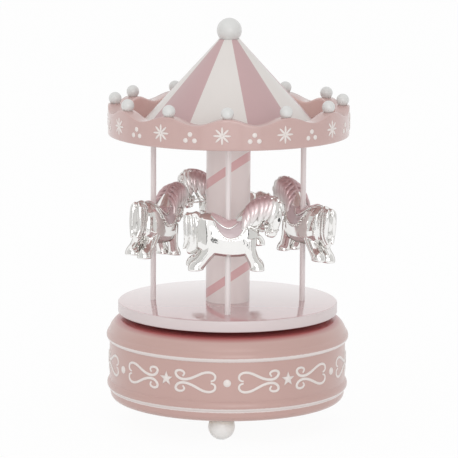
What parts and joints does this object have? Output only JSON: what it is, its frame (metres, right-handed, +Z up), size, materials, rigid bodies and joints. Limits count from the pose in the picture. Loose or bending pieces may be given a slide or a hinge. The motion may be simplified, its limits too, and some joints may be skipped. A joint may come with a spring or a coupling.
{
  "type": "carousel music box",
  "caption": "Wind-up carousel music box: silvered horses on poles turn under a scalloped striped canopy, over a round lacquered base that holds a pinned-cylinder movement.",
  "frame": {"origin": "on the axis of the carousel, level with the soles of the feet", "axes": "+Z up along the axis of the carousel, -Y towards the viewer of the picture, +X to the right"},
  "size_m": [0.1104, 0.1104, 0.1849],
  "materials": {
    "pink_lacquer": "gloss lacquer",
    "painted_stripes": "satin paint, white and pink stripes",
    "white_lacquer": "satin lacquer",
    "bare_plywood": "bare",
    "white_pole": "satin",
    "silvered_horse": "mirror silvered, lacquered mane and saddle",
    "screw_steel": "zinc plated",
    "cast_zinc": "as cast",
    "brass_work": "satin",
    "bright_steel": "ground",
    "blued_spring": "blued",
    "fan_plastic": "moulded"
  },
  "bodies": {
    "base": {"base_body": "pink_lacquer", "base_deck": "pink_lacquer", "bottom_cover": "bare_plywood", "foot_front": "white_lacquer", "foot_right": "white_lacquer", "foot_left": "white_lacquer", "cover_screws": "screw_steel", "movement_bedplate": "cast_zinc", "bedplate_screws": "screw_steel", "arbor_bush": "brass_work", "end_bracket": "cast_zinc", "bracket_screws": "screw_steel", "spring_barrel": "bright_steel", "barrel_pillars": "brass_work", "mainspring": "blued_spring", "music_comb": "bright_steel", "comb_screws": "screw_steel", "governor_bridge": "cast_zinc"},
    "carousel": {"winding_arbor": "bright_steel", "great_wheel": "brass_work", "drive_hub": "brass_work", "hub_screws": "screw_steel", "turntable": "pink_lacquer", "column": "painted_stripes", "pole_front": "white_pole", "pole_right": "white_pole", "pole_back": "white_pole", "pole_left": "white_pole", "horse_front": "silvered_horse", "horse_right": "silvered_horse", "horse_back": "silvered_horse", "horse_left": "silvered_horse", "canopy_deck": "pink_lacquer", "canopy_ring": "pink_lacquer", "rim_balls": "white_lacquer", "canopy_cone": "painted_stripes", "finial_ball": "white_lacquer"},
    "cylinder": {"cylinder_arbor": "bright_steel", "music_cylinder": "brass_work", "cylinder_pinion": "brass_work", "cylinder_wheel": "brass_work"},
    "layshaft_train": {"layshaft": "bright_steel", "layshaft_pinion": "brass_work", "worm_wheel": "brass_work"},
    "governor": {"governor_worm": "bright_steel", "governor_fan": "fan_plastic"}
  },
  "joints": [
    {"name": "carousel_spin", "type": "hinge", "parent": "base", "child": "carousel", "pos_m": [0, 0, 0.05], "axis": [0, 0, 1], "continuous": true},
    {"name": "cylinder_spin", "type": "hinge", "parent": "base", "child": "cylinder", "pos_m": [0.02, 0, 0.02641], "axis": [1, 0, 0], "continuous": true},
    {"name": "layshaft_spin", "type": "hinge", "parent": "base", "child": "layshaft_train", "pos_m": [0.033, 0.0095, 0.02641], "axis": [1, 0, 0], "continuous": true},
    {"name": "governor_spin", "type": "hinge", "parent": "base", "child": "governor", "pos_m": [0.03525, 0.01725, 0.02], "axis": [0, 0, 1], "continuous": true}
  ],
  "couplings": [
    {"joint": "cylinder_spin", "follows": "carousel_spin", "ratio": -3},
    {"joint": "layshaft_spin", "follows": "carousel_spin", "ratio": 8.4},
    {"joint": "governor_spin", "follows": "carousel_spin", "ratio": -201.6}
  ]
}
